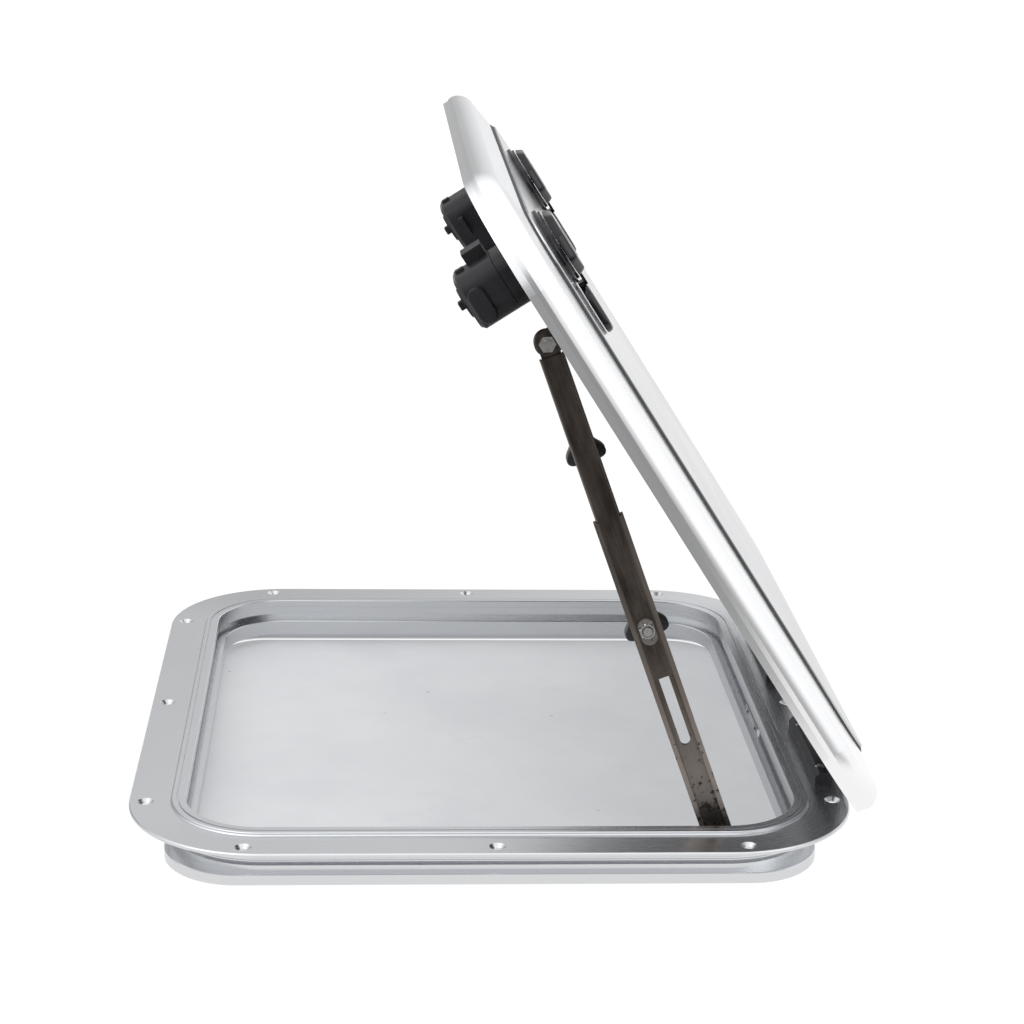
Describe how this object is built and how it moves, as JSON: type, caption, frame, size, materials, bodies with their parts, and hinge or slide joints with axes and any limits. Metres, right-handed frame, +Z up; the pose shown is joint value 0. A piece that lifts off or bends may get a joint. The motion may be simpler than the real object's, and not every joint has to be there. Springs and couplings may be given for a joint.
{
  "type": "deck hatch",
  "caption": "Rectangular deck hatch: screwed-down aluminium frame with rounded corners, hinged lid with turning latches, and a telescopic stay that holds the lid open.",
  "frame": {"origin": "centre of the deck cut-out on the deck plane, which is the flange's underside", "axes": "+X from the latch side to the hinge side, +Y along the hinge axis away from the stay, +Z up out of the deck"},
  "size_m": [0.512, 0.56, 0.4726],
  "materials": {
    "frame_metal": "satin clear anodised extrusion",
    "lid_metal": "satin clear anodised extrusion, brushed along its length",
    "panel": "pale satin sheet",
    "seal": "matt black",
    "black_matt": "moulded black, fine grain",
    "black_gloss": "polished black",
    "stay_steel": "stainless steel, stained brown",
    "steel": "plain stainless steel"
  },
  "bodies": {
    "frame": {"frame": "frame_metal", "lower_ring": "frame_metal", "frame_splice": "frame_metal", "splice_screws": "steel", "hinge_base_near": "black_matt", "hinge_base_far": "black_matt", "hinge_pin_near": "steel", "hinge_pin_far": "steel", "hinge_base_screws": "steel", "stay_foot_bush": "steel", "stay_foot_screw": "steel"},
    "lid": {"lid_rim": "lid_metal", "lid_gasket": "seal", "panel_bead": "seal", "lid_panel": "panel", "hinge_leaf_near": "black_matt", "hinge_leaf_far": "black_matt", "hinge_leaf_screws": "steel", "latch_escutcheon_near": "black_gloss", "latch_escutcheon_far": "black_gloss", "latch_housing_near": "black_matt", "latch_housing_far": "black_matt", "latch_housing_screws": "steel", "stay_head_bracket": "stay_steel", "stay_head_screws": "steel", "stay_head_stud": "steel"},
    "stay_lower": {"stay_channel": "stay_steel"},
    "stay_upper": {"stay_arm": "stay_steel", "stay_bar": "stay_steel", "lower_clamp_bolt": "steel", "upper_clamp_bolt": "steel", "upper_clamp_spacer": "steel", "clamp_nut": "steel", "clamp_plate": "steel", "stay_head_bolt": "steel"},
    "lower_knob": {"lower_knob": "black_matt"},
    "upper_knob": {"upper_knob": "black_matt"},
    "latch_near": {"latch_handle_near": "black_gloss", "latch_spindle_near": "steel", "latch_knob_near": "black_matt", "latch_cam_near": "steel"},
    "lock_pin_near": {"lock_pin_near": "black_matt"},
    "latch_far": {"latch_handle_far": "black_gloss", "latch_spindle_far": "steel", "latch_knob_far": "black_matt", "latch_cam_far": "steel"},
    "lock_pin_far": {"lock_pin_far": "black_matt"}
  },
  "joints": [
    {"name": "lid_hinge", "type": "hinge", "parent": "frame", "child": "lid", "pos_m": [0.2551, 0, 0.0118], "axis": [0, 1, 0], "range_deg": [-56.8, 4.2]},
    {"name": "stay_pivot", "type": "hinge", "parent": "frame", "child": "stay_lower", "pos_m": [0.1565, 0, -0.015], "axis": [0, 1, 0], "range_deg": [-68, 6]},
    {"name": "stay_slide", "type": "slide", "parent": "stay_lower", "child": "stay_upper", "axis": [-0.3476, 0, 0.9376], "range_m": [-0.0775, 0.0063]},
    {"name": "lower_knob_turn", "type": "hinge", "parent": "stay_upper", "child": "lower_knob", "pos_m": [0.09858, 0, 0.14121], "axis": [0, 1, 0], "range_deg": [0, 360]},
    {"name": "upper_knob_turn", "type": "hinge", "parent": "stay_upper", "child": "upper_knob", "pos_m": [0.05402, 0, 0.26141], "axis": [0, 1, 0], "range_deg": [0, 360]},
    {"name": "latch_turn_near", "type": "hinge", "parent": "lid", "child": "latch_near", "pos_m": [0.03578, -0.147, 0.38348], "axis": [0.8368, 0, 0.5476], "range_deg": [0, 90]},
    {"name": "lock_pin_push_near", "type": "slide", "parent": "latch_near", "child": "lock_pin_near", "axis": [0.8368, 0, 0.5476], "range_m": [0, 0.003]},
    {"name": "latch_turn_far", "type": "hinge", "parent": "lid", "child": "latch_far", "pos_m": [0.03578, 0.147, 0.38348], "axis": [-0.8368, 0, -0.5476], "range_deg": [0, 90]},
    {"name": "lock_pin_push_far", "type": "slide", "parent": "latch_far", "child": "lock_pin_far", "axis": [0.8368, 0, 0.5476], "range_m": [0, 0.003]}
  ],
  "couplings": [
    {"joint": "stay_pivot", "follows": "lid_hinge", "ratio": 1.183},
    {"joint": "stay_slide", "follows": "lid_hinge", "m_per_rad": 0.0768}
  ]
}
